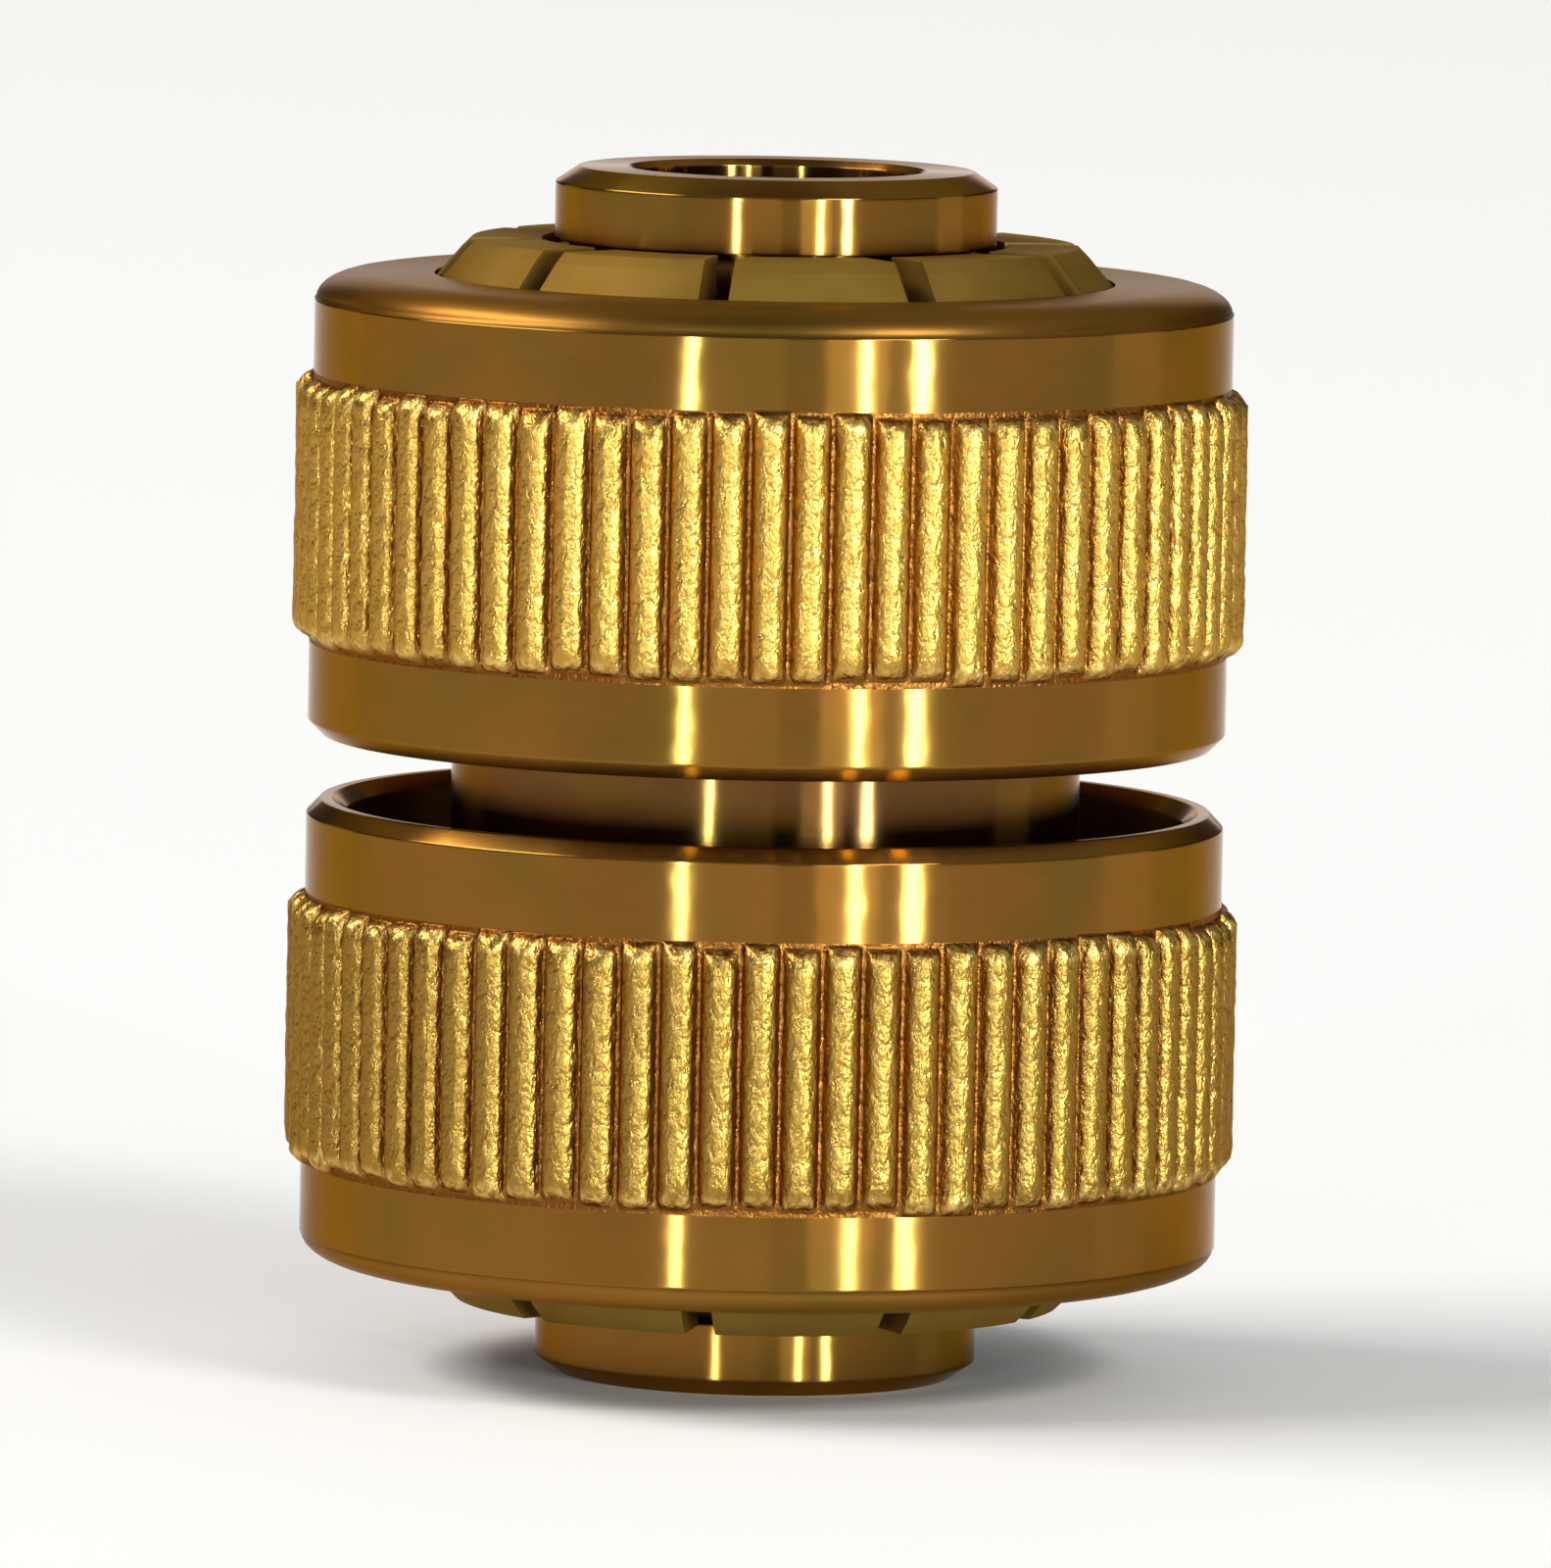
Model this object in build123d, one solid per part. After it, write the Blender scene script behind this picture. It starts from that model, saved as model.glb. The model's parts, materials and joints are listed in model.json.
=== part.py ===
from build123d import *
import os
from math import pi, radians, tan

# A brass mender for half-inch garden hose, standing on one end as it would on a bench.
# One turned body carries a barbed tail at each end. Over each tail sit a ring of claws and a
# knurled nut: screwing the nut towards the middle draws its cone over the claws and shuts
# them on the hose. The two ends are alike, mirrored about the middle of the body.
# Units are millimetres. The axis is Z, and Z = 0 is the end face that the fitting stands on.
# Radii are worked out from the waterway outwards. Heights are first worked out as a distance
# from the middle of the body, for one end, and the finished end is then placed twice.

# Body: waterway, barbed tails, waist and threaded collars
waterway_radius = 4.5
waterway_edge = 0.2
tail_wall = 1.8
barb_height = 0.65
barb_count = 4
barb_pitch = 2.2
tip_land = 1.8
tip_chamfer_width = 0.75
tip_chamfer_height = 0.5
hose_space = 2.65
sleeve_wall = 2.9
sleeve_edge = 0.4
waist_radius = 9.9
waist_half_length = 3.1
web_thickness = 1.9
collar_length = 5.9

# Screw fit between collar and nut, drawn plain at the pitch line of a right-hand thread
thread_pitch = 1.5
thread_turns = 2.5
thread_half_depth = 0.5
thread_clearance = 0.06
relief_clearance = 0.2

# Claw ring: a flange that seats on the collar, thin necks, and heads with the clamping cone
claw_count = 10
claw_slot_width = 0.95
claw_slot_angle = 7.7
slot_floor = 0.5
flange_thickness = 1.2
flange_clearance = 0.1
claw_wall = 1.2
claw_head_rise = 1.1
claw_head_flare = 0.6
claw_reach = 1.15
claw_edge = 0.35
claw_tooth_count = 3
claw_tooth_pitch = 0.85
claw_tooth_height = 0.4
claw_lip = 0.35
claw_tail_gap = 0.4
throat_length = 1.6
cone_angle = 40.0
cone_clearance = 0.1

# Nut: plain band, knurled band, plain band, shouldered end with the cone inside
nut_gap = 2.06
nut_length = 14.55
nut_wall = 1.25
nut_edge = 0.45
nut_mouth_radius = 10.65
nut_chamber_clearance = 0.35
rim_band = 2.9
end_band = 2.3
shoulder_width = 1.6
shoulder_height = 0.85
knurl_count = 72
knurl_height = 0.55
knurl_crest_width = 0.4
knurl_bevel_width = 0.15
knurl_bevel_height = 0.1
knurl_groove_width = 0.3
knurl_edge = 0.25
knurl_root_depth = 0.2

# Radii, from the waterway outwards
barb_root_radius = waterway_radius + tail_wall
tail_radius = barb_root_radius + barb_height
tip_radius = tail_radius - tip_chamfer_width
hose_space_radius = tail_radius + hose_space
collar_radius = hose_space_radius + sleeve_wall
nut_bore_radius = collar_radius + thread_clearance
flange_radius = collar_radius - thread_half_depth - flange_clearance
nut_relief_radius = collar_radius + thread_half_depth + relief_clearance
band_radius = nut_relief_radius + nut_wall
knurl_radius = band_radius + knurl_height
knurl_root_radius = band_radius - knurl_root_depth
neck_radius = hose_space_radius + claw_wall
head_radius = neck_radius + claw_head_rise
chamber_radius = head_radius + nut_chamber_clearance
claw_lip_radius = tail_radius + claw_tail_gap
claw_root_radius = claw_lip_radius + claw_tooth_height

# Distances from the middle of the body
rim_plane = nut_gap / 2
end_plane = rim_plane + nut_length
claw_plane = end_plane + claw_reach
collar_plane = waist_half_length
seat_plane = collar_plane + collar_length
flange_plane = seat_plane + flange_thickness
thread_plane = seat_plane - thread_turns * thread_pitch
pocket_plane = collar_plane + web_thickness
half_length = claw_plane + tip_land + tip_chamfer_height


def turned(*outline):
    """Turns a closed outline, drawn with radius across and height up, about the fitting's axis."""
    return revolve(Plane.XZ * make_face(Curve() + [*outline]), Axis.Z)


def closed(points):
    """A closed outline of straight lines through points."""
    return Polyline(*points, close=True)


def body():
    """The one-piece body: waterway, two barbed tails, two threaded collars and the waist."""
    outline = [
        (waterway_radius, 0),
        (waterway_radius, half_length - waterway_edge),
        (waterway_radius + waterway_edge, half_length),
        (tip_radius, half_length),
        (tail_radius, half_length - tip_chamfer_height),
        (tail_radius, claw_plane),
        (barb_root_radius, claw_plane),
    ]
    for barb in range(1, barb_count + 1):
        crest = claw_plane - barb * barb_pitch
        outline += [(tail_radius, crest), (barb_root_radius, crest)]
    outline += [
        (barb_root_radius, pocket_plane),
        (hose_space_radius, pocket_plane),
        (hose_space_radius, seat_plane),
        (collar_radius - sleeve_edge, seat_plane),
        (collar_radius, seat_plane - sleeve_edge),
        (collar_radius, collar_plane + sleeve_edge),
        (collar_radius - sleeve_edge, collar_plane),
        (waist_radius, collar_plane),
        (waist_radius, 0),
    ]
    half = turned(closed(outline))
    return half + mirror(half, about=Plane.XY)


def cone_radius(height, clearance):
    """Radius of the clamping cone at a height, that far inside the nut's own cone."""
    return nut_mouth_radius - clearance + (end_plane - height) * tan(radians(cone_angle))


def cone_height(radius, clearance):
    """Height at which the clamping cone has a radius."""
    return end_plane - (radius - nut_mouth_radius + clearance) / tan(radians(cone_angle))


def claw_ring():
    """The ring of claws for one end, shut to where the nut's cone holds it."""
    head_plane = cone_height(head_radius, cone_clearance)
    neck_top = head_plane - claw_head_flare
    edge_plane = claw_plane - claw_edge
    edge_radius = cone_radius(edge_plane, cone_clearance)
    outline = [
        (hose_space_radius, seat_plane),
        (flange_radius, seat_plane),
        (flange_radius, flange_plane),
        (neck_radius, flange_plane),
        (neck_radius, neck_top - claw_head_rise),
        (head_radius, neck_top),
        (head_radius, head_plane),
        (edge_radius, edge_plane),
        (edge_radius - claw_edge, claw_plane),
        (claw_lip_radius, claw_plane),
        (claw_lip_radius, claw_plane - claw_lip),
    ]
    for tooth in range(1, claw_tooth_count + 1):
        height = claw_plane - claw_lip - tooth * claw_tooth_pitch
        outline += [(claw_root_radius, height + claw_tooth_pitch), (claw_lip_radius, height)]
    outline += [(claw_root_radius, height), (hose_space_radius, height - throat_length)]
    ring = turned(closed(outline))
    slot_length = claw_plane - flange_plane - slot_floor
    slot = Pos(0, 0, claw_plane) * Box(
        2 * flange_radius,
        claw_slot_width,
        2 * slot_length,
        align=(Align.MIN, Align.CENTER, Align.CENTER),
    )
    for claw in range(claw_count):
        ring -= Rot(0, 0, claw_slot_angle + claw * 360 / claw_count) * slot
    return ring


def knurl_ridge():
    """One ridge of the knurl, towards +X, rooted in the band and bevelled on its crest and ends."""
    half_crest = knurl_crest_width / 2
    half_top = half_crest + knurl_bevel_width
    half_foot = pi * band_radius / knurl_count - knurl_groove_width / 2
    bevel_radius = knurl_radius - knurl_bevel_height
    slope = (half_foot - half_top) / (bevel_radius - band_radius)
    half_root = half_foot + slope * knurl_root_depth
    bottom = rim_plane + rim_band
    top = end_plane - shoulder_height - end_band
    section = closed([
        (knurl_root_radius, -half_root),
        (bevel_radius, -half_top),
        (knurl_radius, -half_crest),
        (knurl_radius, half_crest),
        (bevel_radius, half_top),
        (knurl_root_radius, half_root),
    ])
    side = closed([
        (knurl_root_radius, bottom),
        (knurl_radius - knurl_edge, bottom),
        (knurl_radius, bottom + knurl_edge),
        (knurl_radius, top - knurl_edge),
        (knurl_radius - knurl_edge, top),
        (knurl_root_radius, top),
    ])
    bar = extrude(Pos(0, 0, bottom) * make_face(section), top - bottom)
    return bar & extrude(Plane.XZ * make_face(side), half_root, both=True)


def nut():
    """The nut of one end: recess, screw bore, chamber for the claw heads, cone and shoulder."""
    face_radius = band_radius - shoulder_width
    band_top = end_plane - shoulder_height
    shoulder = EllipticalCenterArc((face_radius, band_top), shoulder_width, shoulder_height, arc_size=90)
    wall = Polyline(
        (face_radius, end_plane),
        (nut_mouth_radius, end_plane),
        (chamber_radius, cone_height(chamber_radius, 0)),
        (chamber_radius, flange_plane),
        (nut_bore_radius, flange_plane),
        (nut_bore_radius, thread_plane),
        (nut_relief_radius, thread_plane),
        (nut_relief_radius, rim_plane + nut_edge),
        (nut_relief_radius + nut_edge, rim_plane),
        (band_radius - nut_edge, rim_plane),
        (band_radius, rim_plane + nut_edge),
        (band_radius, band_top),
    )
    ridge = knurl_ridge()
    ridges = [Rot(0, 0, number * 360 / knurl_count) * ridge for number in range(knurl_count)]
    return turned(wall, shoulder) + ridges


def at_upper_end(piece):
    """Places a piece, made for one end, at the upper end of the standing fitting."""
    return Pos(0, 0, half_length) * piece


def at_lower_end(piece):
    """Places a piece, made for one end, at the lower end of the standing fitting."""
    return Pos(0, 0, half_length) * mirror(piece, about=Plane.XY)


claws = claw_ring()
end_nut = nut()
pieces = {
    "body": Pos(0, 0, half_length) * body(),
    "upper_claw_ring": at_upper_end(claws),
    "lower_claw_ring": at_lower_end(claws),
    "upper_nut": at_upper_end(end_nut),
    "lower_nut": at_lower_end(end_nut),
}

os.makedirs("parts", exist_ok=True)
for name, piece in pieces.items():
    export_step(piece, f"parts/{name}.step")
    print(name, round(piece.volume, 1), "cubic mm", piece.bounding_box().size)
print("length", 2 * half_length, "nut diameter", 2 * knurl_radius)
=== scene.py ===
# %% [markdown]
# # A brass hose mender, dressed for its portrait
#
# The real object joins two cut ends of garden hose. It is turned from brass bar on a lathe in
# five pieces: a body with a barbed tail at each end, two knurled nuts, and two rings of claws
# that the nuts close on the hose. The solids with the true sizes come from the frame; this
# lesson gives them the surfaces that a lathe and a knurling wheel leave behind.
#
# The frame is loaded first, so that every later step can measure it instead of guessing.

# %% Load the frame
import json
from math import cos, pi, radians, sin, tan

import bmesh
import bpy
import numpy as np
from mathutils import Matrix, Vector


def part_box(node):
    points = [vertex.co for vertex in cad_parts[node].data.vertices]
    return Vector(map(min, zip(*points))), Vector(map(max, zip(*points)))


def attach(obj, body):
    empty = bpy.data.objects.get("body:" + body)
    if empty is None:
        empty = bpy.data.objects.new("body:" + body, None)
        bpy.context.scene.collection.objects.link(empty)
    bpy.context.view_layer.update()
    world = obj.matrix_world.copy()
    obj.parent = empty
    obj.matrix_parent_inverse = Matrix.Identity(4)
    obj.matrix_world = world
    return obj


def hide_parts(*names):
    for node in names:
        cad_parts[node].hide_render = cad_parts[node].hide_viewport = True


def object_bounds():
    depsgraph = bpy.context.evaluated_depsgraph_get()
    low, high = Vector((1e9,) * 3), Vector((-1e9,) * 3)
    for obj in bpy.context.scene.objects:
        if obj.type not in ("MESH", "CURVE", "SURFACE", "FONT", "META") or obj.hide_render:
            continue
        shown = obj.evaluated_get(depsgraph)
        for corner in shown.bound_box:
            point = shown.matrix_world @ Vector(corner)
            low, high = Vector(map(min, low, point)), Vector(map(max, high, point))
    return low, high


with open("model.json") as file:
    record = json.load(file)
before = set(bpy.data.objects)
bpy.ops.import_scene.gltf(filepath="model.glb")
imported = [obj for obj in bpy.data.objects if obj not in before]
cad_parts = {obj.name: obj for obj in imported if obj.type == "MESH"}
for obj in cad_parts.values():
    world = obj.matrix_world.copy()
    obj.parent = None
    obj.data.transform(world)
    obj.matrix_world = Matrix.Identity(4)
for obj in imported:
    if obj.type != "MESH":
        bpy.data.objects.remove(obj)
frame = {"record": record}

cad_low, cad_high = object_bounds()
print("size in mm:", [round(1000 * side, 2) for side in cad_high - cad_low])

# %% [markdown]
# ## Sizes read off the frame
#
# A turned piece is described by radii and by heights along its axis. The heights come from the
# boxes of the solids, and the tail and the waterway come from the record's mounts, so the
# dressed pieces stay true if the model changes. Both ends are alike, so each height is kept
# as a distance from the middle of the body, and one end is written down once.

# %% Measure the solids
MM = 0.001


def mount_radius(name):
    """Radius of one of the record's round mounts, in metres."""
    for mount in frame["record"]["mounts"]:
        if mount["name"] == name:
            return mount["dims"]["r_mm"] * MM
    raise KeyError(name)


def reach(node):
    """Largest radius of a solid that stands on the axis."""
    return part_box(node)[1].x


middle = (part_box("body")[0].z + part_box("body")[1].z) / 2
half_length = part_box("body")[1].z - middle
rim_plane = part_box("upper_nut")[0].z - middle
end_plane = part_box("upper_nut")[1].z - middle
seat_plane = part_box("upper_claw_ring")[0].z - middle
claw_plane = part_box("upper_claw_ring")[1].z - middle
knurl_radius = reach("upper_nut")
collar_radius = reach("body")
flange_radius = reach("upper_claw_ring")
tail_radius = mount_radius("upper_tail")
waterway_radius = mount_radius("waterway")
print("middle", middle, "half length", half_length, "knurl radius", knurl_radius)

# %% [markdown]
# ## The camera
#
# The photograph was taken from a little over half a metre, slightly above the object, so the
# upper rings look nearly straight and the lower ones curve more. A long lens at that distance
# keeps this. The object also leans by a degree in the picture, and turning the camera about
# its own line of sight gives the lean without tilting the object itself.

# %% Place the camera
view_distance = 580 * MM
view_elevation = radians(5.5)
view_roll = radians(1.1)
picture_height = 49.4 * MM
aim = (0.32 * MM, 0.0, middle - 0.4 * MM)

camera = bpy.data.objects.new("camera", bpy.data.cameras.new("camera"))
bpy.context.scene.collection.objects.link(camera)
camera.data.lens = camera.data.sensor_width * view_distance / picture_height
camera.data.clip_start = 10 * MM
camera.data.clip_end = 100
camera.location = (
    aim[0],
    aim[1] - view_distance * cos(view_elevation),
    aim[2] + view_distance * sin(view_elevation),
)
camera.rotation_euler = (pi / 2 - view_elevation, 0, 0)
camera.rotation_euler.rotate_axis("Z", view_roll)
bpy.context.scene.camera = camera
print("lens in mm:", round(camera.data.lens, 1))

# %% [markdown]
# ## The floor
#
# The photograph shows the fitting cut out on white. Here it stands on a plain pale floor, wide
# enough to be the whole background, because bare metal mirrors whatever is around it: a real
# surface seen both by the camera and in the brass keeps the two in agreement.

# %% Lay the floor
floor_reach = 6.0
floor_colour = (0.96, 0.96, 0.95, 1)
floor_roughness = 0.9
floor_gloss = 0.2


def shaded(name):
    """A new material, its node tree and its main shader."""
    material = bpy.data.materials.new(name)
    material.use_nodes = True
    return material, material.node_tree, material.node_tree.nodes["Principled BSDF"]


bpy.ops.mesh.primitive_plane_add(size=2 * floor_reach, location=(0, 0, cad_low.z))
floor = bpy.context.object
floor.name = "floor"
floor_material, _, floor_shader = shaded("pale_floor")
floor_shader.inputs["Base Color"].default_value = floor_colour
floor_shader.inputs["Roughness"].default_value = floor_roughness
floor_shader.inputs["Specular IOR Level"].default_value = floor_gloss
floor.data.materials.append(floor_material)
print("floor", floor.dimensions)

# %% [markdown]
# ## The room
#
# Most of what bare metal shows is the room. Walls that are dimmer than the ceiling make the
# upright bands dark and rich, while the sloping claws, which mirror the ceiling, stay paler.
# The world's colour therefore rises from a wall tone at the horizon to a ceiling tone above.
# Straight overhead it falls again: the photograph shows the rounded shoulder and the small
# chamfers, which mirror that part of the room, as the darkest rings of all.

# %% Paint the room
wall_tone = (0.08, 0.072, 0.068, 1)
ceiling_tone = (0.41, 0.407, 0.404, 1)
overhead_tone = (0.18, 0.155, 0.155, 1)
room_stops = ((0.22, wall_tone), (0.60, ceiling_tone), (0.86, ceiling_tone), (0.97, overhead_tone))

room = bpy.data.worlds.new("room")
bpy.context.scene.world = room
room.use_nodes = True
room_tree = room.node_tree
direction = room_tree.nodes.new("ShaderNodeTexCoord")
apart = room_tree.nodes.new("ShaderNodeSeparateXYZ")
room_tree.links.new(direction.outputs["Generated"], apart.inputs[0])
rise = room_tree.nodes.new("ShaderNodeValToRGB")
rise.color_ramp.interpolation = "EASE"
while len(rise.color_ramp.elements) < len(room_stops):
    rise.color_ramp.elements.new(0.5)
for stop, (height, tone) in zip(rise.color_ramp.elements, room_stops):
    stop.position = height
    stop.color = tone
room_tree.links.new(apart.outputs["Z"], rise.inputs["Fac"])
room_tree.links.new(rise.outputs["Color"], room_tree.nodes["Background"].inputs["Color"])
bpy.context.scene.view_settings.view_transform = "Standard"
print("room painted with", len(room_stops), "stops")

# %% [markdown]
# ## The lamps
#
# Turned metal is drawn by its lights. Each strip lamp makes one upright streak on every band,
# at half the lamp's angle from the camera, and the photograph shows three: a narrow one left
# of the middle and two on the right, with a soft glow beside them. The lamps stand where those
# streaks put them. A lamp is given by the angles that it fills as seen from the fitting and by
# how bright it looks there, 1 being white, because that is what the metal mirrors.
#
# Two screens stand higher up. The upright bands mirror them faintly, and the rough ridges and
# the sloping claws much more. The walls are large and dim beside the strips: they give each
# band its slow change between dark and light as it turns away.

# %% Hang the lamps
lamp_distance = 5.0
cool = (0.62, 0.84, 1.0)
plain = (1.0, 0.975, 0.94)


def lamp(name, azimuth, elevation, wide, tall, brightness, colour):
    """A rectangular lamp aimed at the fitting, its angles in degrees; azimuth 0 is the camera's side."""
    light = bpy.data.lights.new(name, "AREA")
    light.shape = "RECTANGLE"
    light.size = lamp_distance * radians(wide)
    light.size_y = lamp_distance * radians(tall)
    light.energy = brightness * pi * light.size * light.size_y
    light.color = colour
    holder = bpy.data.objects.new(name, light)
    bpy.context.scene.collection.objects.link(holder)
    turn = radians(azimuth)
    tilt = radians(elevation)
    holder.location = (
        lamp_distance * cos(tilt) * sin(turn),
        -lamp_distance * cos(tilt) * cos(turn),
        middle + lamp_distance * sin(tilt),
    )
    holder.rotation_euler = (pi / 2 - tilt, 0, turn)


lamp("left_strip", azimuth=-20.2, elevation=4, wide=2.2, tall=8, brightness=215, colour=cool)
lamp("right_strip_near", azimuth=23, elevation=4, wide=2.6, tall=8, brightness=215, colour=cool)
lamp("right_strip_far", azimuth=37.4, elevation=4, wide=4.0, tall=8, brightness=215, colour=cool)
lamp("soft_glow", azimuth=21, elevation=5, wide=16, tall=10, brightness=4.4, colour=plain)
lamp("front_wall", azimuth=-8, elevation=8, wide=22, tall=16, brightness=0.8, colour=plain)
lamp("left_screen", azimuth=-88, elevation=40, wide=46, tall=16, brightness=11.0, colour=plain)
lamp("right_screen", azimuth=38, elevation=36, wide=18, tall=14, brightness=14.0, colour=plain)
lamp("left_wall", azimuth=-136, elevation=8, wide=20, tall=16, brightness=0.5, colour=plain)
lamp("right_wall", azimuth=104, elevation=8, wide=20, tall=16, brightness=0.8, colour=plain)
lamp("backdrop", azimuth=180, elevation=12, wide=24, tall=20, brightness=0.9, colour=plain)

# %% [markdown]
# ## Turning a piece
#
# A lathe makes a shape from one outline, and so do these helpers: they take a closed outline
# of radius and height and turn it about the axis into one closed skin. A screw modifier could
# do it, but a knurl and a thread change the radius with the angle as well, so the points are
# worked out here and may be moved by a small function of angle and height.
#
# Real corners are never sharp. Each outline point may carry a third number, the radius of its
# rounding, and a short curve takes the corner's place. Long straight runs get an extra point
# close to each end, so that the smooth shading of a corner doesn't creep along them and bend
# what they mirror.

# %% Outline helpers
round_steps = 3
run_share = 0.45
hold_back = 0.06 * MM


def softened(outline):
    """The closed outline with each corner that carries a rounding turned into a short curve.

    A curve takes no more than run_share of the runs beside it, so two of them never meet."""
    points = []
    count = len(outline)
    for index, corner in enumerate(outline):
        here = np.array(corner[:2])
        rounding = corner[2] if len(corner) > 2 else 0
        if not rounding:
            points.append(here)
            continue
        before = np.array(outline[index - 1][:2]) - here
        after = np.array(outline[(index + 1) % count][:2]) - here
        far_before = np.linalg.norm(before)
        far_after = np.linalg.norm(after)
        half = np.arccos(np.dot(before, after) / far_before / far_after) / 2
        back = min(rounding / np.tan(half), run_share * far_before, run_share * far_after)
        first = here + before / far_before * back
        last = here + after / far_after * back
        for step in range(round_steps + 1):
            share = step / round_steps
            rest = 1 - share
            points.append(rest**2 * first + 2 * share * rest * here + share**2 * last)
    return points


def stepped(points, low, high, step):
    """The outline with its upright runs between two heights cut into steps of that length."""
    result = []
    for here, there in zip(points, points[1:] + points[:1]):
        result.append(here)
        inside = low <= min(here[1], there[1]) and max(here[1], there[1]) <= high
        cuts = int(abs(there[1] - here[1]) / step) if inside else 0
        for cut in range(1, cuts):
            result.append(here + (there - here) * cut / cuts)
    return result


def held(points, least):
    """The outline with an extra point near each end of every run that is longer than least."""
    result = []
    for here, there in zip(points, points[1:] + points[:1]):
        result.append(here)
        run = np.linalg.norm(there - here)
        if run > least:
            result.append(here + (there - here) * hold_back / run)
            result.append(there - (there - here) * hold_back / run)
    return result


square = [(1, 0, 0.1), (2, 0, 0.1), (2, 1, 0.1), (1, 1)]
print("a square with three soft corners has", len(held(softened(square), 0.5)), "points")

# %% Turn an outline into a skin
def evenly(count):
    """That many angles, evenly spaced round the axis."""
    return [2 * pi * column / count for column in range(count)]


def turned(name, outline, angles, moved=None):
    """A closed skin turned from an outline in metres, standing on the fitting's axis.

    moved(radius, height, angle) returns the new radius of every point."""
    profile = np.array(outline)
    rows, columns = len(profile), len(angles)
    radius = np.repeat(profile[:, 0:1], columns, axis=1)
    height = np.repeat(profile[:, 1:2], columns, axis=1)
    angle = np.repeat(np.array(angles)[None, :], rows, axis=0)
    if moved:
        radius = moved(radius, height, angle)
    places = np.stack([radius * np.cos(angle), radius * np.sin(angle), height + middle], axis=-1)
    faces = []
    for row in range(rows):
        next_row = (row + 1) % rows
        for column in range(columns):
            next_column = (column + 1) % columns
            faces.append((
                row * columns + column,
                row * columns + next_column,
                next_row * columns + next_column,
                next_row * columns + column,
            ))
    mesh = bpy.data.meshes.new(name)
    mesh.from_pydata(places.reshape(-1, 3).tolist(), [], faces)
    piece = bpy.data.objects.new(name, mesh)
    bpy.context.scene.collection.objects.link(piece)
    skin = bmesh.new()
    skin.from_mesh(mesh)
    bmesh.ops.recalc_face_normals(skin, faces=skin.faces)
    skin.to_mesh(mesh)
    skin.free()
    return piece


def smoothed(piece):
    """Smooth shading, with the large faces deciding how the corners between them are shaded."""
    piece.data.shade_smooth()
    modifier = piece.modifiers.new("even_shading", "WEIGHTED_NORMAL")
    modifier.keep_sharp = True
    return piece


print("four even angles:", [round(angle, 2) for angle in evenly(4)])

# %% [markdown]
# ## The screw thread
#
# Collar and nut are screwed together by a fine right-hand thread. A bump map could fake it,
# but backing a nut off bares the first turns, so the ridge is real: its radius follows a
# flat-topped wave of height and angle. The nut's thread uses the same wave, a little further
# out, so the two mesh at rest and, since turn and travel are coupled, at every pose.

# %% The thread as a wave
thread_pitch = 1.5 * MM
thread_turns = 2.5
thread_half_depth = 0.45 * MM
thread_clearance = 0.06 * MM
thread_flatness = 1.4
thread_plane = seat_plane - thread_turns * thread_pitch


def thread_wave(height, angle):
    """From -1 at the root to 1 at the crest of a right-hand thread with flat tops."""
    turn = (height / thread_pitch - angle / (2 * pi)) % 1.0
    slope = 1 - 4 * np.abs(turn - 0.5)
    return np.clip(thread_flatness * slope, -1, 1)


print("thread crest and root:", thread_wave(0.0, pi), thread_wave(0.0, 0.0))

# %% [markdown]
# ## Steps of a material
#
# A material made of nodes is a small calculation that runs at every point of the surface. An
# image would be the other way, but it needs the skin laid out flat, and it blurs when seen
# close. Each helper below adds one step of such a calculation: where the point is, how far it
# is from the axis, a noise, a change of range, a mix of two colours, or a bump.

# %% Where a point is
def object_place(tree):
    """The object's own coordinates, so that a pattern stays on the piece."""
    return tree.nodes.new("ShaderNodeTexCoord").outputs["Object"]


def axis_place(tree):
    """How far a point of the surface is from the fitting's axis, and its height, in metres."""
    split = tree.nodes.new("ShaderNodeSeparateXYZ")
    tree.links.new(object_place(tree), split.inputs[0])
    flat = tree.nodes.new("ShaderNodeCombineXYZ")
    tree.links.new(split.outputs["X"], flat.inputs["X"])
    tree.links.new(split.outputs["Y"], flat.inputs["Y"])
    length = tree.nodes.new("ShaderNodeVectorMath")
    length.operation = "LENGTH"
    tree.links.new(flat.outputs[0], length.inputs[0])
    return length.outputs["Value"], split.outputs["Z"]


print("two ways to say where a point is")

# %% Noise and bump
def noise(tree, vector, spacing, detail, tallness=1):
    """Noise whose lumps are about that far apart, and that many times as tall as they are wide."""
    squeeze = tree.nodes.new("ShaderNodeVectorMath")
    squeeze.operation = "MULTIPLY"
    squeeze.inputs[1].default_value = (1, 1, 1 / tallness)
    tree.links.new(vector, squeeze.inputs[0])
    node = tree.nodes.new("ShaderNodeTexNoise")
    node.inputs["Scale"].default_value = 1 / spacing
    node.inputs["Detail"].default_value = detail
    tree.links.new(squeeze.outputs[0], node.inputs["Vector"])
    return node.outputs["Fac"]


def bumped(tree, height, depth, strength, below=None):
    """Bump of that depth in metres, laid over another bump's normal where one is given."""
    bump = tree.nodes.new("ShaderNodeBump")
    bump.inputs["Distance"].default_value = depth
    bump.inputs["Strength"].default_value = strength
    tree.links.new(height, bump.inputs["Height"])
    if below:
        tree.links.new(below, bump.inputs["Normal"])
    return bump.outputs["Normal"]


print("noise and bump ready")

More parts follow.
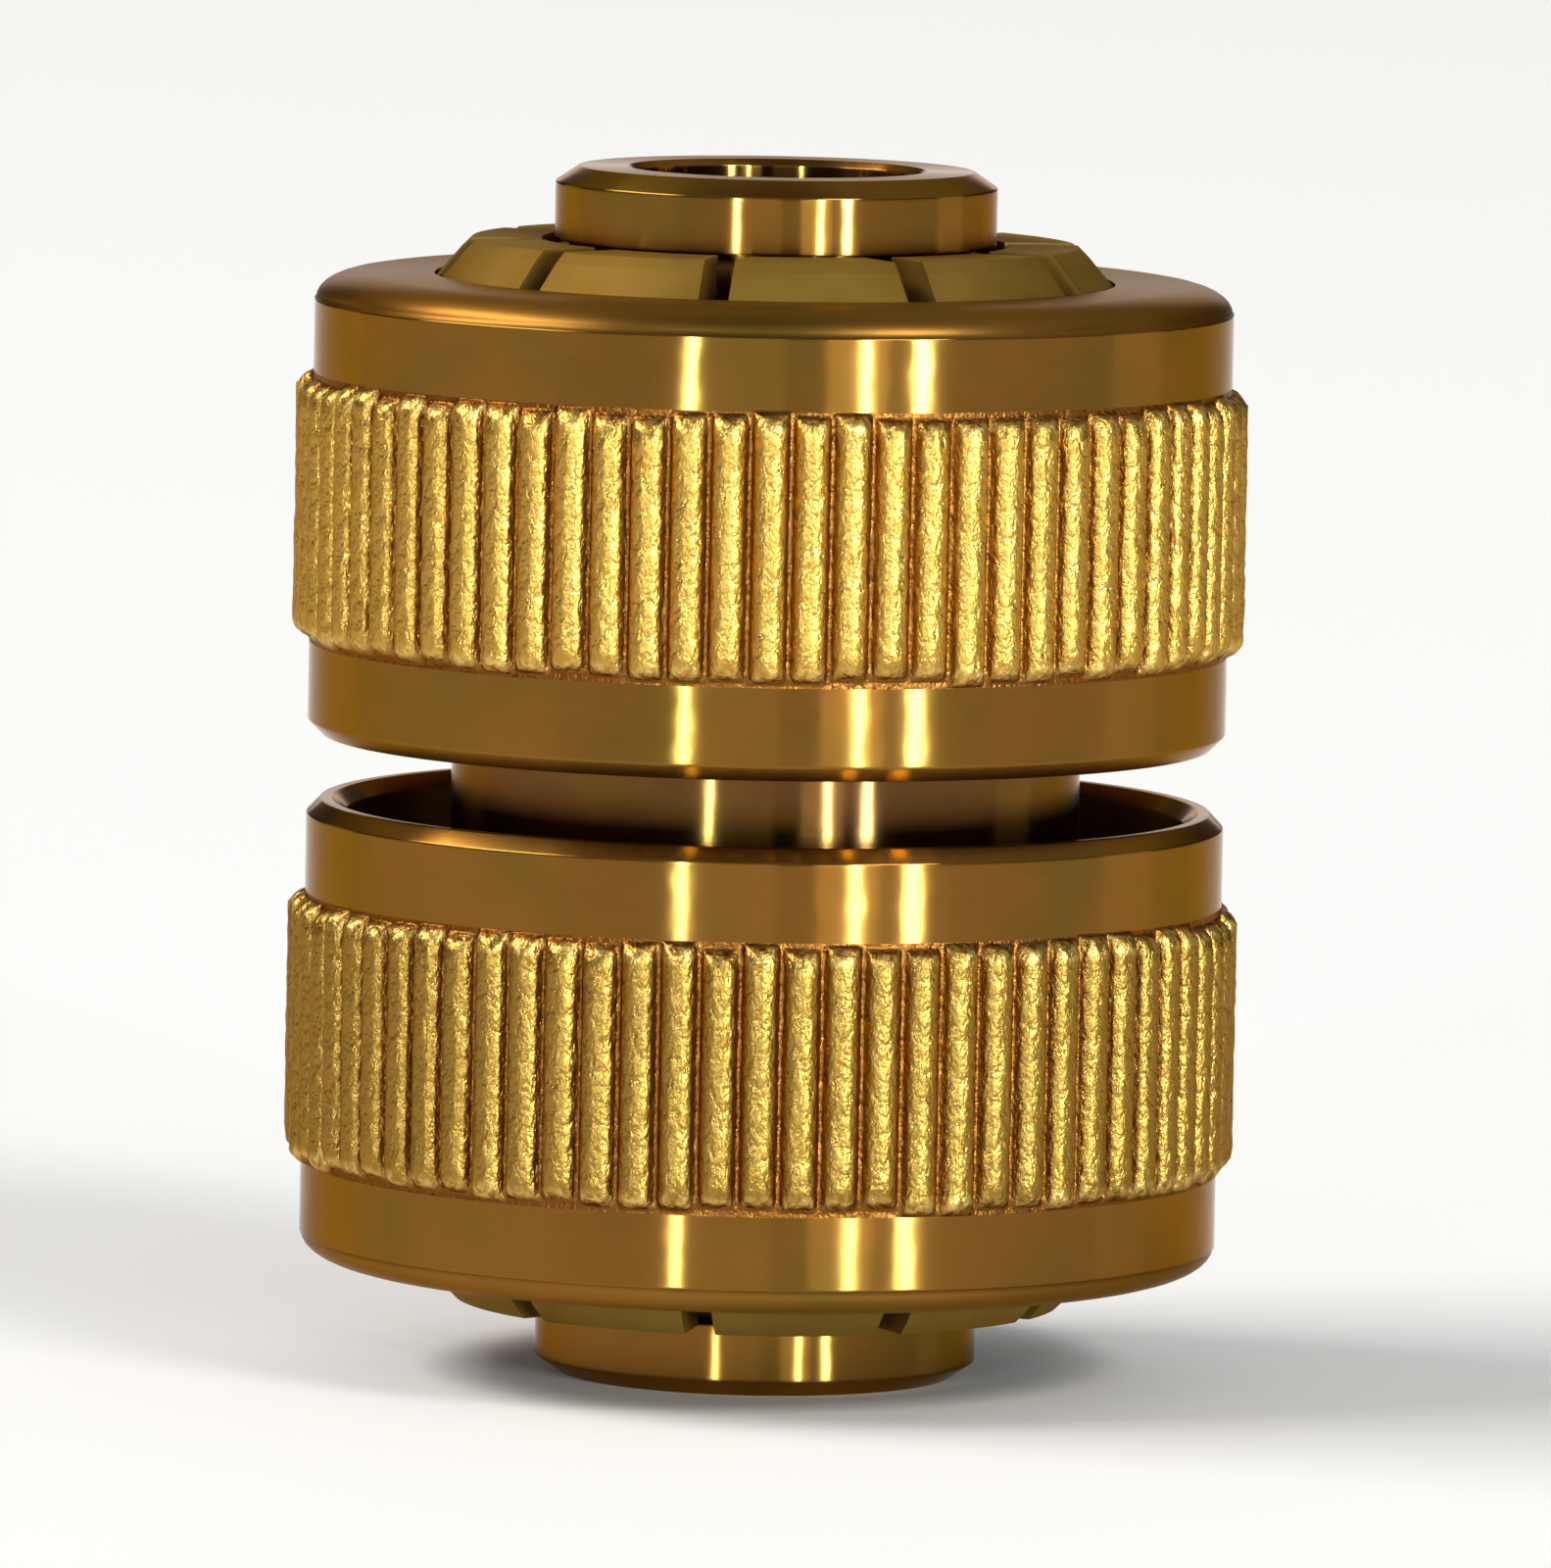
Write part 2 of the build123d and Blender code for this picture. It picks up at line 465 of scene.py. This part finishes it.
# %% Sums, ranges and mixed colours
def worked_out(tree, operation, first, second=0.0):
    """A sum on a value of the surface; second is another such value or a plain number."""
    node = tree.nodes.new("ShaderNodeMath")
    node.operation = operation
    tree.links.new(first, node.inputs[0])
    if isinstance(second, float):
        node.inputs[1].default_value = second
    else:
        tree.links.new(second, node.inputs[1])
    return node.outputs[0]


def ranged(tree, value, low, high, to_low=0.0, to_high=1.0):
    """The value with its range from low to high stretched over another range, and held there."""
    node = tree.nodes.new("ShaderNodeMapRange")
    node.inputs["From Min"].default_value = low
    node.inputs["From Max"].default_value = high
    node.inputs["To Min"].default_value = to_low
    node.inputs["To Max"].default_value = to_high
    tree.links.new(value, node.inputs["Value"])
    return node.outputs["Result"]


def mixed(tree, share, first, second):
    """The first colour with a share of the second, which is a plain colour or another mix."""
    node = tree.nodes.new("ShaderNodeMix")
    node.data_type = "RGBA"
    node.inputs["A"].default_value = first
    if isinstance(second, tuple):
        node.inputs["B"].default_value = second
    else:
        tree.links.new(second, node.inputs["B"])
    tree.links.new(share, node.inputs["Factor"])
    return node.outputs["Result"]


print("sums, ranges and mixed colours ready")

# %% [markdown]
# ## Brass off the lathe
#
# The tool leaves fine grooves running round the piece. They spread each reflection upwards and
# downwards but not sideways, which is why a lamp becomes an upright streak. An anisotropic
# shader does this with its tangent laid round the axis. The grooves themselves are a weak
# bump from noise that is constant round the axis, so it rings every band and every face, and
# a second, much broader noise makes the streaks waver a little, as chatter of the tool does.
#
# Brass that has been handled also tarnishes in patches, so its colour drifts towards olive
# over a few millimetres. Seen at a glancing angle, metal turns pale; the edge colour keeps
# that paleness warm instead of white.

# %% Turned brass
olive_colour = (0.20, 0.108, 0.018, 1)
edge_colour = (0.70, 0.56, 0.44, 1)
patch_size = 4 * MM
patch_start = 0.4
patch_full = 0.7
chatter_size = 1.3 * MM
groove_size = 0.12 * MM
quarter_turn = 0.25


def grooves(tree):
    """Noise that changes with radius and height only, so that it rings the axis."""
    radius, height = axis_place(tree)
    rings = tree.nodes.new("ShaderNodeCombineXYZ")
    tree.links.new(radius, rings.inputs["X"])
    tree.links.new(height, rings.inputs["Z"])
    return noise(tree, rings.outputs[0], groove_size, detail=3)


def round_the_axis(tree, shader):
    """Lays the shader's tangent round the axis, with its streaks standing upright."""
    tangent = tree.nodes.new("ShaderNodeTangent")
    tangent.direction_type = "RADIAL"
    tangent.axis = "Z"
    tree.links.new(tangent.outputs[0], shader.inputs["Tangent"])
    shader.inputs["Anisotropic Rotation"].default_value = quarter_turn


def turned_brass(name, colour, roughness, anisotropy, groove_depth, chatter_depth):
    """Brass with patches of tarnish and the fine rings that a lathe tool leaves."""
    material, tree, shader = shaded(name)
    shader.inputs["Metallic"].default_value = 1
    shader.inputs["Specular Tint"].default_value = edge_colour
    shader.inputs["Roughness"].default_value = roughness
    shader.inputs["Anisotropic"].default_value = anisotropy
    round_the_axis(tree, shader)
    patches = ranged(tree, noise(tree, object_place(tree), patch_size, detail=2), patch_start, patch_full)
    tree.links.new(mixed(tree, patches, colour, olive_colour), shader.inputs["Base Color"])
    waver = noise(tree, object_place(tree), chatter_size, detail=1)
    chatter = bumped(tree, waver, chatter_depth, strength=1)
    normal = bumped(tree, grooves(tree), groove_depth, strength=0.5, below=chatter)
    tree.links.new(normal, shader.inputs["Normal"])
    return material


print("patches every", patch_size, "m, grooves every", groove_size, "m")

# %% [markdown]
# ### Five finishes of one brass
#
# The bands and the tails are bright from the tool. The waist between the nuts is as smooth but
# darker: its darker colour is painted shade for the gap between the nuts. The shoulders are
# worn dull where fingers and hoses rub, the claws are sawn and left plain, and the insides of
# the nuts are rough and darker brown, painted shade of a recess. All five are the same
# material with other numbers, as they are the same metal on the object.

# %% Mix the finishes
brass_colour = (0.255, 0.112, 0.020, 1)
# painted shade: the waist between the nuts gets a darker copy of the brass colour
waist_shade_colour = (0.17, 0.074, 0.022, 1)
claw_colour = (0.275, 0.158, 0.030, 1)
# painted shade: the insides of the nuts get a darker brown, as in a recess
inner_shade_colour = (0.13, 0.060, 0.020, 1)
fine_marks = {"groove_depth": 0.003 * MM, "chatter_depth": 0.008 * MM}
coarse_marks = {"groove_depth": 0.004 * MM, "chatter_depth": 0.010 * MM}

bright_brass = turned_brass("turned_brass", brass_colour, roughness=0.17, anisotropy=1.0, **fine_marks)
# the waist's darker brass is painted shade for the gap between the nuts
shaded_waist_brass = turned_brass("shaded_waist_brass", waist_shade_colour, roughness=0.17, anisotropy=1.0, **fine_marks)
worn_brass = turned_brass("worn_brass", brass_colour, roughness=0.36, anisotropy=0.6, **fine_marks)
claw_brass = turned_brass("sawn_brass", claw_colour, roughness=0.66, anisotropy=0.2, **coarse_marks)
# the nuts' insides are rough, in a darker brass that is painted shade of the recess
shaded_inner_brass = turned_brass("shaded_inner_brass", inner_shade_colour, roughness=0.50, anisotropy=0.4, **coarse_marks)
print("materials:", [item.name for item in bpy.data.materials])

# %% [markdown]
# ## Brass under the knurling wheel
#
# A knurl isn't cut but pressed in, and the wheel tears the crests a little, so the ridges are
# rough and sparkle. Two sizes of noise tip the surface this way and that: lumps about a
# quarter of a ridge wide, and fine grain on them. The lumps also drive the roughness, so that
# a crest is bright in some spots and dull in others. Light that reaches a groove has already
# bounced off brass, so grooves glow orange by themselves, and painted shade at their foot
# deepens it.
#
# The wheel also turns up a burr at each end of a ridge, and here and there one catches the
# light. The colour therefore grows paler near the ends, a painted glint, but only where the
# lumps stand high, so that no two ends look alike. The lower nut's ridges get a darker copy
# of the crest colour, painted shade, as they look less lit than the upper's.

# %% Where the ridges are
knurl_height = 0.55 * MM
rim_band = 2.9 * MM
end_band = 2.3 * MM
shoulder_height = 0.85 * MM
band_radius = knurl_radius - knurl_height
band_top = end_plane - shoulder_height
knurl_low = rim_plane + rim_band
knurl_high = band_top - end_band
# where the paler painted glints at the ridge ends start and how strong they get
glint_start = 0.75 * MM
glint_full = 0.45 * MM
glint_most = 0.8


def glint_share(tree):
    """Share of the painted glint: 0 along a ridge, rising to its most near the two ends, alike on both
    nuts.
    """
    _, height = axis_place(tree)
    away = worked_out(tree, "ABSOLUTE", worked_out(tree, "SUBTRACT", height, middle))
    ridge_middle = (knurl_low + knurl_high) / 2
    along = worked_out(tree, "ABSOLUTE", worked_out(tree, "SUBTRACT", away, ridge_middle))
    end = (knurl_high - knurl_low) / 2
    return ranged(tree, along, end - glint_start, end - glint_full, to_high=glint_most)


print("ridges run from", knurl_low, "to", knurl_high, "m from the middle")

# %% Knurled brass
# painted shade: the colour at the foot of each groove
groove_shade_colour = (0.19, 0.066, 0.011, 1)
crest_colour = (0.47, 0.257, 0.047, 1)
# painted shade: a darker copy of the crest colour for the lower nut's ridges
shaded_crest_colour = (0.32, 0.172, 0.031, 1)
# painted glint: the pale colour near the ridge ends
glint_colour = (0.80, 0.53, 0.15, 1)
# how far up a ridge the painted shade at the groove's foot reaches, as a share of the knurl height
groove_shade_reach = 0.7
lump_size = 0.26 * MM
lump_depth = 0.09 * MM
grain_size = 0.10 * MM
grain_depth = 0.035 * MM
tear_strength = 0.8
# which lumps stand high enough to carry a painted glint
glint_lumps = (0.38, 0.58)
polish_lumps = (0.3, 0.7)
smoothest = 0.25
roughest = 0.45


def knurled_brass(name, colour):
    """Rough, sparkling brass for the ridges, with painted shade towards the foot of each groove."""
    material, tree, shader = shaded(name)
    shader.inputs["Metallic"].default_value = 1
    shader.inputs["Specular Tint"].default_value = edge_colour
    lumps = noise(tree, object_place(tree), lump_size, detail=2, tallness=1.6)
    grain = noise(tree, object_place(tree), grain_size, detail=2, tallness=1.4)
    normal = bumped(tree, lumps, lump_depth, tear_strength)
    normal = bumped(tree, grain, grain_depth, tear_strength, below=normal)
    tree.links.new(normal, shader.inputs["Normal"])
    radius, _ = axis_place(tree)
    # painted shade: the colour fades from the groove's foot up to the crest colour
    unshaded = ranged(tree, radius, band_radius, band_radius + groove_shade_reach * knurl_height)
    high_spots = ranged(tree, lumps, *glint_lumps)
    # painted glint: paler colour near the ridge ends, where the lumps stand high
    glints = worked_out(tree, "MULTIPLY", glint_share(tree), high_spots)
    crest = mixed(tree, glints, colour, glint_colour)
    tree.links.new(mixed(tree, unshaded, groove_shade_colour, crest), shader.inputs["Base Color"])
    roughness = ranged(tree, lumps, *polish_lumps, to_low=smoothest, to_high=roughest)
    tree.links.new(roughness, shader.inputs["Roughness"])
    return material


ridge_brass = knurled_brass("knurled_brass", crest_colour)
# the lower nut's ridges in the darker copy, which is painted shade
shaded_ridge_brass = knurled_brass("shaded_knurled_brass", shaded_crest_colour)
print("materials:", ridge_brass.name, shaded_ridge_brass.name)

# %% [markdown]
# ## The body
#
# One piece of brass: waterway, two barbed tails, two hose pockets, two threaded collars and
# the waist. Its outline is written for the upper half, from the waist up the outside and back
# down the waterway, and then repeated upside down, so the skin closes on itself.

# %% Body sizes
waterway_edge = 0.2 * MM
barb_root_radius = waterway_radius + 1.8 * MM
barb_count = 4
barb_pitch = 2.2 * MM
tip_radius = tail_radius - 0.75 * MM
tip_height = 0.5 * MM
hose_space_radius = tail_radius + 2.65 * MM
waist_radius = 9.9 * MM
collar_plane = 3.1 * MM
pocket_plane = collar_plane + 1.9 * MM
collar_edge = 0.4 * MM
soft = 0.1 * MM


def half_body():
    """Outline of the upper half, from the waist's surface round to the waterway's wall."""
    crest = collar_radius + thread_half_depth
    root = collar_radius - thread_half_depth
    slope = 2 * thread_half_depth + collar_edge
    outline = [
        (waist_radius, collar_plane, soft),
        (root - collar_edge, collar_plane, soft),
        (crest, collar_plane + slope),
        (crest, seat_plane - slope),
        (root - collar_edge, seat_plane, soft),
        (hose_space_radius, seat_plane, soft),
        (hose_space_radius, pocket_plane, soft),
        (barb_root_radius, pocket_plane, soft),
    ]
    for barb in range(barb_count, -1, -1):
        height = claw_plane - barb * barb_pitch
        outline += [(barb_root_radius, height), (tail_radius, height, soft / 3)]
    outline += [
        (tail_radius, half_length - tip_height, soft),
        (tip_radius, half_length, soft),
        (waterway_radius + waterway_edge, half_length, soft / 2),
        (waterway_radius, half_length - waterway_edge, soft / 2),
    ]
    return outline


def both_halves(outline):
    """The outline followed by its own reflection in the middle plane."""
    below = [(corner[0], -corner[1], *corner[2:]) for corner in reversed(outline)]
    return outline + below


print("body outline has", len(both_halves(half_body())), "corners")

# %% Turn the body
body_columns = 288
body_thread_rows = 10
body_long_run = 1.2 * MM
bright_index, waist_index = range(2)


def threaded_collars(radius, height, angle):
    """Cuts the thread into the two collars."""
    away = np.abs(height)
    on_collar = (radius > collar_radius - thread_half_depth) & (away > collar_plane) & (away < seat_plane)
    cut = collar_radius + thread_half_depth * thread_wave(height, angle)
    return np.where(on_collar, np.minimum(radius, cut), radius)


body_outline = softened(both_halves(half_body()))
for side in (-1, 1):
    low, high = sorted((side * collar_plane, side * seat_plane))
    body_outline = stepped(body_outline, low, high, thread_pitch / body_thread_rows)
body_outline = held(body_outline, body_long_run)
body = smoothed(turned("turned_body", body_outline, evenly(body_columns), threaded_collars))
for brass in (bright_brass, shaded_waist_brass):
    body.data.materials.append(brass)
# faces between the collars take the darker waist brass, which is painted shade
for face in body.data.polygons:
    on_waist = abs(face.center.z - middle) < collar_plane + soft
    face.material_index = waist_index if on_waist else bright_index
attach(body, "fitting_body")
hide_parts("body")
print("body faces:", len(body.data.polygons))

# %% [markdown]
# ## The nuts
#
# Each nut is one turned shell with a knurled band. The ridges are in the skin itself, because
# their shadows, their bright crests and their ragged ends make the nut's whole character. The
# angles at which the skin has points are bunched on the flanks of each ridge, and its heights
# are bunched at the ridge's two ends, so few points draw a crisp groove and a torn end.

# %% Where the nut's skin has points
knurl_count = 72
knurl_row = 0.38 * MM
end_rows = (0.0, 0.02, 0.06, 0.11, 0.17, 0.24, 0.33, 0.45, 0.60)
ridge_places = (-1.0, -0.85, -0.79, -0.69, -0.50, -0.26, 0.0, 0.26, 0.50, 0.69, 0.79, 0.85)
ridge_angles = [
    2 * pi * (ridge + place / 2) / knurl_count
    for ridge in range(knurl_count)
    for place in ridge_places
]


def knurl_rows():
    """Heights of the rows of points on the knurl, close together at its two ends."""
    low_rows = [knurl_low + step * MM for step in end_rows]
    high_rows = [knurl_high - step * MM for step in reversed(end_rows)]
    between = high_rows[0] - low_rows[-1]
    count = int(between / knurl_row)
    rows = [low_rows[-1] + between * row / count for row in range(1, count)]
    return low_rows + rows + high_rows


print("points round the nut:", len(ridge_angles), "and up the knurl:", len(knurl_rows()))

# %% Draw the nut's outline
relief_radius = collar_radius + 0.7 * MM
bore_radius = collar_radius + thread_clearance - thread_half_depth
mouth_radius = 10.65 * MM
chamber_radius = 12.25 * MM
cone_slope = tan(radians(40))
nut_edge = 0.45 * MM
shoulder_width = 1.6 * MM
shoulder_steps = 8
shoulder_step = 0.04 * MM
flange_plane = seat_plane + 1.2 * MM


def nut_outline():
    """Outline of the upper nut, from the rim up the outside and back down the bore."""
    cone_foot = end_plane - (chamber_radius - mouth_radius) / cone_slope
    outline = [
        (relief_radius, rim_plane + nut_edge, soft),
        (relief_radius + nut_edge, rim_plane, soft),
        (band_radius - nut_edge, rim_plane, soft),
        (band_radius, rim_plane + nut_edge, soft),
    ]
    outline += [(band_radius, height) for height in knurl_rows()]
    outline.append((band_radius, band_top))
    for step in range(shoulder_steps + 1):
        turn = pi / 2 * step / shoulder_steps
        outline.append((
            band_radius - shoulder_width + (shoulder_width - shoulder_step) * cos(turn),
            band_top + shoulder_height * sin(turn),
        ))
    outline += [
        (mouth_radius, end_plane, soft / 2),
        (chamber_radius, cone_foot, soft),
        (chamber_radius, flange_plane, soft),
        (bore_radius, flange_plane, soft),
        (bore_radius, thread_plane + thread_half_depth),
        (relief_radius - soft, thread_plane, soft),
        (relief_radius, thread_plane),
    ]
    return outline


print("corners of the nut's outline:", len(nut_outline()))

# %% [markdown]
# ### One ridge
#
# In section a ridge is a bar with a rounded crown and steep flanks, most of the pitch wide,
# with a narrow groove beside it. A superellipse draws that with two numbers, how wide and how
# full the crown is. Along its length the ridge is uneven where the wheel tore it, and its ends
# stop raggedly, so every ridge gets its own height, lean, ends and small dents, drawn from a
# seeded random series that gives the same nut each time.

# %% Shape the ridges
crown_width = 0.86
crown_fullness = 2.2
crest_change = (-0.10, -0.02)
ragged_end = 0.3 * MM
flank_lean = 0.08
dent = 0.016 * MM
knurl_end = 0.42 * MM
tolerance = 0.01 * MM


def ridge_shape(place):
    """Height of a ridge's section from 0 in the groove to 1 on the crest; place runs -1 to 1."""
    out = np.clip(np.abs(place) / crown_width, 0, 1)
    return (1 - out**crown_fullness) ** (1 / crown_fullness)


def threaded_bore(radius, height, angle):
    """Cuts the thread into the bore of a nut."""
    away = np.abs(height)
    in_bore = (radius > bore_radius - tolerance) & (radius < relief_radius - soft)
    in_bore &= (away > thread_plane - soft) & (away < flange_plane)
    cut = collar_radius + thread_clearance + thread_half_depth * thread_wave(height, angle)
    return np.where(in_bore, np.maximum(radius, cut), radius)


def knurl(seed):
    """A function that raises one nut's ridges, each a little different, and threads its bore."""
    chance = np.random.RandomState(seed)
    tall = 1 + chance.uniform(*crest_change, knurl_count)
    low_end = chance.uniform(0, ragged_end, knurl_count)
    high_end = chance.uniform(0, ragged_end, knurl_count)
    lean = chance.uniform(-flank_lean, flank_lean, knurl_count)

    def moved(radius, height, angle):
        away = np.abs(height)
        turn = angle * knurl_count / (2 * pi)
        nearest = np.floor(turn + 0.5)
        place = 2 * (turn - nearest)
        ridge = nearest.astype(int) % knurl_count
        near = np.minimum(away - knurl_low - low_end[ridge], knurl_high - high_end[ridge] - away)
        window = np.sqrt(np.clip(near / knurl_end, 0, 1))
        rise = knurl_height * ridge_shape(place) * tall[ridge] * (1 + lean[ridge] * place)
        rise = (rise + chance.normal(0, dent, radius.shape)) * window
        raised = np.clip(radius + rise, band_radius, knurl_radius)
        on_band = (radius > band_radius - tolerance) & (away > knurl_low) & (away < knurl_high)
        return threaded_bore(np.where(on_band, raised, radius), height, angle)

    return moved


print("ridge section:", [round(float(ridge_shape(place)), 2) for place in ridge_places])

# %% Turn the nuts
nut_thread_rows = 5
nut_long_run = 0.9 * MM
upper_seed = 11
lower_seed = 12
band_index, ridge_index, shoulder_index, inside_index = range(4)


def nut_finish(away, out):
    """Which of a nut's four finishes a face has, from its distances to the middle and the axis."""
    if knurl_low < away < knurl_high and out > band_radius - soft:
        return ridge_index
    if away > band_top and out > mouth_radius:
        return shoulder_index
    if away < band_top and out < relief_radius + soft:
        return inside_index
    return band_index


def nut(name, side, seed, ridges):
    """One nut: side is 1 for the upper end and -1 for the lower."""
    outline = softened(nut_outline())
    outline = stepped(outline, thread_plane, flange_plane, thread_pitch / nut_thread_rows)
    outline = held(outline, nut_long_run)
    outline = [(point[0], side * point[1]) for point in outline]
    piece = smoothed(turned(name, outline, ridge_angles, knurl(seed)))
    # the inside finish is the darker brass of painted shade
    for brass in (bright_brass, ridges, worn_brass, shaded_inner_brass):
        piece.data.materials.append(brass)
    for face in piece.data.polygons:
        face.material_index = nut_finish(abs(face.center.z - middle), face.center.xy.length)
    return piece


upper_nut = nut("upper_knurled_nut", 1, upper_seed, ridge_brass)
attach(upper_nut, "upper_clamp_nut")
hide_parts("upper_nut")
# the lower nut's ridges carry the darker copy of the crest colour: painted shade
lower_nut = nut("lower_knurled_nut", -1, lower_seed, shaded_ridge_brass)
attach(lower_nut, "lower_clamp_nut")
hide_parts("lower_nut")
print("nut faces:", len(upper_nut.data.polygons))

# %% [markdown]
# ## The claw rings
#
# A claw ring is turned first and then slotted with a saw, and it is made in that order here:
# an outline is turned, ten thin blocks are taken away from it, and a bevel breaks the edges
# that the saw leaves. Cutting real slots keeps the dark gaps between the claws true from
# every side, which a texture could not.

# %% Claw sizes
neck_radius = hose_space_radius + 1.2 * MM
head_rise = 1.1 * MM
head_radius = neck_radius + head_rise
head_flare = 0.6 * MM
cone_gap = 0.1 * MM
claw_edge = 0.35 * MM
claw_lip = 0.35 * MM
lip_radius = tail_radius + 0.4 * MM
tooth_root_radius = lip_radius + 0.4 * MM
tooth_count = 3
tooth_pitch = 0.85 * MM
throat_length = 1.6 * MM


def claw_outline():
    """Outline of the upper claw ring, up the outside and back down over the teeth."""
    head_plane = end_plane - (head_radius - mouth_radius + cone_gap) / cone_slope
    neck_top = head_plane - head_flare
    edge_plane = claw_plane - claw_edge
    edge_radius = mouth_radius - cone_gap + (end_plane - edge_plane) * cone_slope
    height = claw_plane - claw_lip
    outline = [
        (flange_radius, seat_plane),
        (flange_radius, flange_plane),
        (neck_radius, flange_plane),
        (neck_radius, neck_top - head_rise),
        (head_radius, neck_top),
        (head_radius, head_plane),
        (edge_radius, edge_plane, 2 * soft),
        (edge_radius - claw_edge, claw_plane, soft),
        (lip_radius, claw_plane),
        (lip_radius, height),
    ]
    for _ in range(tooth_count):
        outline.append((tooth_root_radius, height))
        height -= tooth_pitch
        outline.append((lip_radius, height))
    outline.append((tooth_root_radius, height))
    outline.append((hose_space_radius, height - throat_length))
    outline.append((hose_space_radius, seat_plane))
    return outline


print("claw outline has", len(claw_outline()), "corners")

# %% [markdown]
# ### The saw
#
# The blocks start off the axis, so that they stay clear of each other. For the lower ring they
# are moved and not mirrored, because mirroring turns a block inside out, and a cut with such a
# block can leave its slot out without saying so. The two rings have to end up with the same
# number of faces, so both numbers are printed below.

# %% Set out the saw cuts
claw_count = 10
claw_slot = 0.95 * MM
claw_angle = radians(7.7)
slot_foot = flange_plane + 0.5 * MM
overshoot = 1 * MM


def saw_blocks(side):
    """Ten thin blocks, standing where the slots go."""
    skin = bmesh.new()
    long = flange_radius + overshoot - waterway_radius
    tall = claw_plane + overshoot - slot_foot
    for turn in evenly(claw_count):
        block = bmesh.ops.create_cube(skin, size=1)["verts"]
        for vertex in block:
            out = waterway_radius + (vertex.co.x + 0.5) * long
            across = vertex.co.y * claw_slot
            away = slot_foot + (side * vertex.co.z + 0.5) * tall
            angle = claw_angle + turn
            vertex.co = (
                out * cos(angle) - across * sin(angle),
                out * sin(angle) + across * cos(angle),
                middle + side * away,
            )
    mesh = bpy.data.meshes.new("saw")
    skin.to_mesh(mesh)
    skin.free()
    blocks = bpy.data.objects.new("saw", mesh)
    bpy.context.scene.collection.objects.link(blocks)
    return blocks


print("slots of", claw_slot, "m, from", slot_foot, "m above the middle")

# %% Saw the slots
claw_columns = 240
broken_edge = 0.07 * MM
sharp_angle = radians(25)


def applied(piece):
    """Makes the piece's modifiers part of its mesh."""
    depsgraph = bpy.context.evaluated_depsgraph_get()
    mesh = bpy.data.meshes.new_from_object(piece.evaluated_get(depsgraph))
    piece.modifiers.clear()
    piece.data = mesh


def claw_ring(name, side):
    """One ring of claws: side is 1 for the upper end and -1 for the lower."""
    outline = [(point[0], side * point[1]) for point in softened(claw_outline())]
    piece = turned(name, outline, evenly(claw_columns))
    blocks = saw_blocks(side)
    cut = piece.modifiers.new("slots", "BOOLEAN")
    cut.operation = "DIFFERENCE"
    cut.solver = "EXACT"
    cut.object = blocks
    edge = piece.modifiers.new("broken_edges", "BEVEL")
    edge.width = broken_edge
    edge.segments = 2
    edge.limit_method = "ANGLE"
    edge.angle_limit = sharp_angle
    applied(piece)
    bpy.data.objects.remove(blocks)
    piece.data.materials.clear()
    piece.data.materials.append(claw_brass)
    return smoothed(piece)


upper_claws = claw_ring("upper_claws_ring", 1)
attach(upper_claws, "upper_claws")
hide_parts("upper_claw_ring")
lower_claws = claw_ring("lower_claws_ring", -1)
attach(lower_claws, "lower_claws")
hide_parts("lower_claw_ring")
print("claw faces:", len(upper_claws.data.polygons), len(lower_claws.data.polygons))
